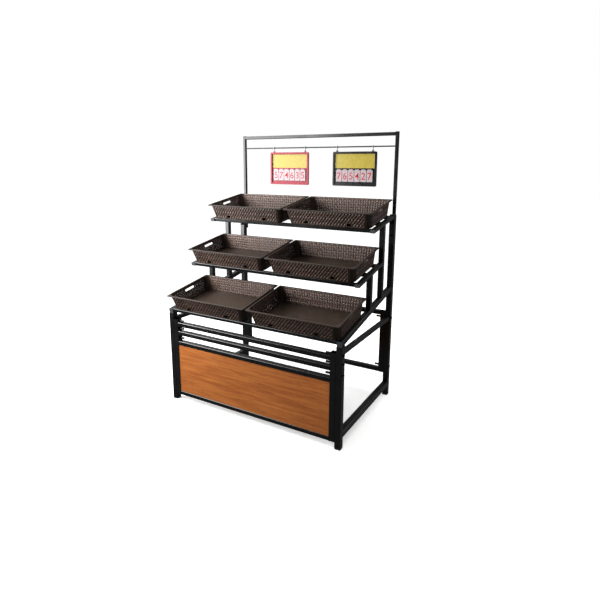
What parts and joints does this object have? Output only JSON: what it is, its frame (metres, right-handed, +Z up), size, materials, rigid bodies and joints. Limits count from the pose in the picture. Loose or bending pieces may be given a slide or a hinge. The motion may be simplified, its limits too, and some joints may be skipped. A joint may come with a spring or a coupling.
{
  "type": "produce display rack",
  "caption": "Free-standing stepped rack of black steel tube with tilted tiers, lift-out wicker-look baskets, a wood-grain front guard and hanging price signs with flip cards.",
  "frame": {"origin": "on the floor, under the centre of the rack's bounding box", "axes": "+Z up, +X to the right seen from the front, front faces -Y"},
  "size_m": [1.2106, 0.8034, 1.7],
  "materials": {
    "frame_steel": "satin black powder coat",
    "insert_plastic": "moulded, matte",
    "bolt_steel": "black oxide",
    "guard_wood": "satin wood grain",
    "basket_plastic": "moulded, satin dark brown",
    "sign_red": "moulded, glossy red",
    "sign_black": "moulded, glossy black",
    "sheet_yellow": "printed sheet, matte",
    "card_white": "smooth white",
    "hook_plastic": "moulded, pale"
  },
  "bodies": {
    "frame": {"bolts": "bolt_steel", "bottom_rail_left": "frame_steel", "bottom_rail_right": "frame_steel", "brace_lower_rail": "frame_steel", "brace_stile_left": "frame_steel", "brace_stile_right": "frame_steel", "brace_upper_rail": "frame_steel", "front_leg_left": "frame_steel", "front_leg_right": "frame_steel", "guard_bottom_rail": "frame_steel", "guard_panel": "guard_wood", "guard_rails": "frame_steel", "guard_stile_left": "frame_steel", "guard_stile_right": "frame_steel", "lower_cross_bars": "frame_steel", "lower_post_left": "frame_steel", "lower_post_right": "frame_steel", "middle_cross_bars": "frame_steel", "middle_rail_left": "frame_steel", "middle_rail_right": "frame_steel", "rear_leg_left": "frame_steel", "rear_leg_right": "frame_steel", "side_rail_left": "frame_steel", "side_rail_right": "frame_steel", "sign_post_left": "frame_steel", "sign_post_right": "frame_steel", "sign_rod": "frame_steel", "sign_top_rail": "frame_steel", "sloped_rail_left": "frame_steel", "sloped_rail_right": "frame_steel", "top_cross_bars": "frame_steel", "top_rail_left": "frame_steel", "top_rail_right": "frame_steel", "tube_inserts": "insert_plastic", "upper_post_left": "frame_steel", "upper_post_right": "frame_steel"},
    "left_hooks": {"left_sign_hooks": "hook_plastic"},
    "left_sign": {"left_sign_board": "sign_red", "left_sign_sheet": "sheet_yellow"},
    "right_hooks": {"right_sign_hooks": "hook_plastic"},
    "right_sign": {"right_sign_board": "sign_black", "right_sign_sheet": "sheet_yellow"},
    "lower_basket_left": {"lower_basket_left": "basket_plastic"},
    "lower_basket_right": {"lower_basket_right": "basket_plastic"},
    "middle_basket_left": {"middle_basket_left": "basket_plastic"},
    "middle_basket_right": {"middle_basket_right": "basket_plastic"},
    "top_basket_left": {"top_basket_left": "basket_plastic"},
    "top_basket_right": {"top_basket_right": "basket_plastic"},
    "left_card_1": {"left_card_1": "card_white"},
    "left_card_2": {"left_card_2": "card_white"},
    "left_card_3": {"left_card_3": "card_white"},
    "left_card_4": {"left_card_4": "card_white"},
    "left_card_5": {"left_card_5": "card_white"},
    "left_card_6": {"left_card_6": "card_white"},
    "right_card_1": {"right_card_1": "card_white"},
    "right_card_2": {"right_card_2": "card_white"},
    "right_card_3": {"right_card_3": "card_white"},
    "right_card_4": {"right_card_4": "card_white"},
    "right_card_5": {"right_card_5": "card_white"},
    "right_card_6": {"right_card_6": "card_white"}
  },
  "joints": [
    {"name": "lower_basket_left_lift", "type": "slide", "parent": "frame", "child": "lower_basket_left", "axis": [0, -0.866, 0.5], "range_m": [0, 0.3]},
    {"name": "lower_basket_right_lift", "type": "slide", "parent": "frame", "child": "lower_basket_right", "axis": [0, -0.866, 0.5], "range_m": [0, 0.3]},
    {"name": "middle_basket_left_lift", "type": "slide", "parent": "frame", "child": "middle_basket_left", "axis": [0, -0.866, 0.5], "range_m": [0, 0.3]},
    {"name": "middle_basket_right_lift", "type": "slide", "parent": "frame", "child": "middle_basket_right", "axis": [0, -0.866, 0.5], "range_m": [0, 0.3]},
    {"name": "top_basket_left_lift", "type": "slide", "parent": "frame", "child": "top_basket_left", "axis": [0, -0.866, 0.5], "range_m": [0, 0.3]},
    {"name": "top_basket_right_lift", "type": "slide", "parent": "frame", "child": "top_basket_right", "axis": [0, -0.866, 0.5], "range_m": [0, 0.3]},
    {"name": "left_hooks_slide", "type": "slide", "parent": "frame", "child": "left_hooks", "axis": [1, 0, 0], "range_m": [-0.18, 0.08]},
    {"name": "left_sign_swing", "type": "hinge", "parent": "left_hooks", "child": "left_sign", "pos_m": [-0.197, 0.38636, 1.591], "axis": [1, 0, 0], "range_deg": [-40, 40]},
    {"name": "left_card_1_flip", "type": "hinge", "parent": "left_sign", "child": "left_card_1", "pos_m": [-0.30575, 0.38216, 1.4695], "axis": [-1, 0, 0], "range_deg": [0, 165]},
    {"name": "left_card_2_flip", "type": "hinge", "parent": "left_sign", "child": "left_card_2", "pos_m": [-0.26225, 0.38216, 1.4695], "axis": [-1, 0, 0], "range_deg": [0, 165]},
    {"name": "left_card_3_flip", "type": "hinge", "parent": "left_sign", "child": "left_card_3", "pos_m": [-0.21875, 0.38216, 1.4695], "axis": [-1, 0, 0], "range_deg": [0, 165]},
    {"name": "left_card_4_flip", "type": "hinge", "parent": "left_sign", "child": "left_card_4", "pos_m": [-0.17525, 0.38216, 1.4695], "axis": [-1, 0, 0], "range_deg": [0, 165]},
    {"name": "left_card_5_flip", "type": "hinge", "parent": "left_sign", "child": "left_card_5", "pos_m": [-0.13175, 0.38216, 1.4695], "axis": [-1, 0, 0], "range_deg": [0, 165]},
    {"name": "left_card_6_flip", "type": "hinge", "parent": "left_sign", "child": "left_card_6", "pos_m": [-0.08825, 0.38216, 1.4695], "axis": [-1, 0, 0], "range_deg": [0, 165]},
    {"name": "right_hooks_slide", "type": "slide", "parent": "frame", "child": "right_hooks", "axis": [1, 0, 0], "range_m": [-0.08, 0.1]},
    {"name": "right_sign_swing", "type": "hinge", "parent": "right_hooks", "child": "right_sign", "pos_m": [0.297, 0.38636, 1.591], "axis": [1, 0, 0], "range_deg": [-40, 40]},
    {"name": "right_card_1_flip", "type": "hinge", "parent": "right_sign", "child": "right_card_1", "pos_m": [0.18825, 0.38216, 1.4695], "axis": [-1, 0, 0], "range_deg": [0, 165]},
    {"name": "right_card_2_flip", "type": "hinge", "parent": "right_sign", "child": "right_card_2", "pos_m": [0.23175, 0.38216, 1.4695], "axis": [-1, 0, 0], "range_deg": [0, 165]},
    {"name": "right_card_3_flip", "type": "hinge", "parent": "right_sign", "child": "right_card_3", "pos_m": [0.27525, 0.38216, 1.4695], "axis": [-1, 0, 0], "range_deg": [0, 165]},
    {"name": "right_card_4_flip", "type": "hinge", "parent": "right_sign", "child": "right_card_4", "pos_m": [0.31875, 0.38216, 1.4695], "axis": [-1, 0, 0], "range_deg": [0, 165]},
    {"name": "right_card_5_flip", "type": "hinge", "parent": "right_sign", "child": "right_card_5", "pos_m": [0.36225, 0.38216, 1.4695], "axis": [-1, 0, 0], "range_deg": [0, 165]},
    {"name": "right_card_6_flip", "type": "hinge", "parent": "right_sign", "child": "right_card_6", "pos_m": [0.40575, 0.38216, 1.4695], "axis": [-1, 0, 0], "range_deg": [0, 165]}
  ]
}
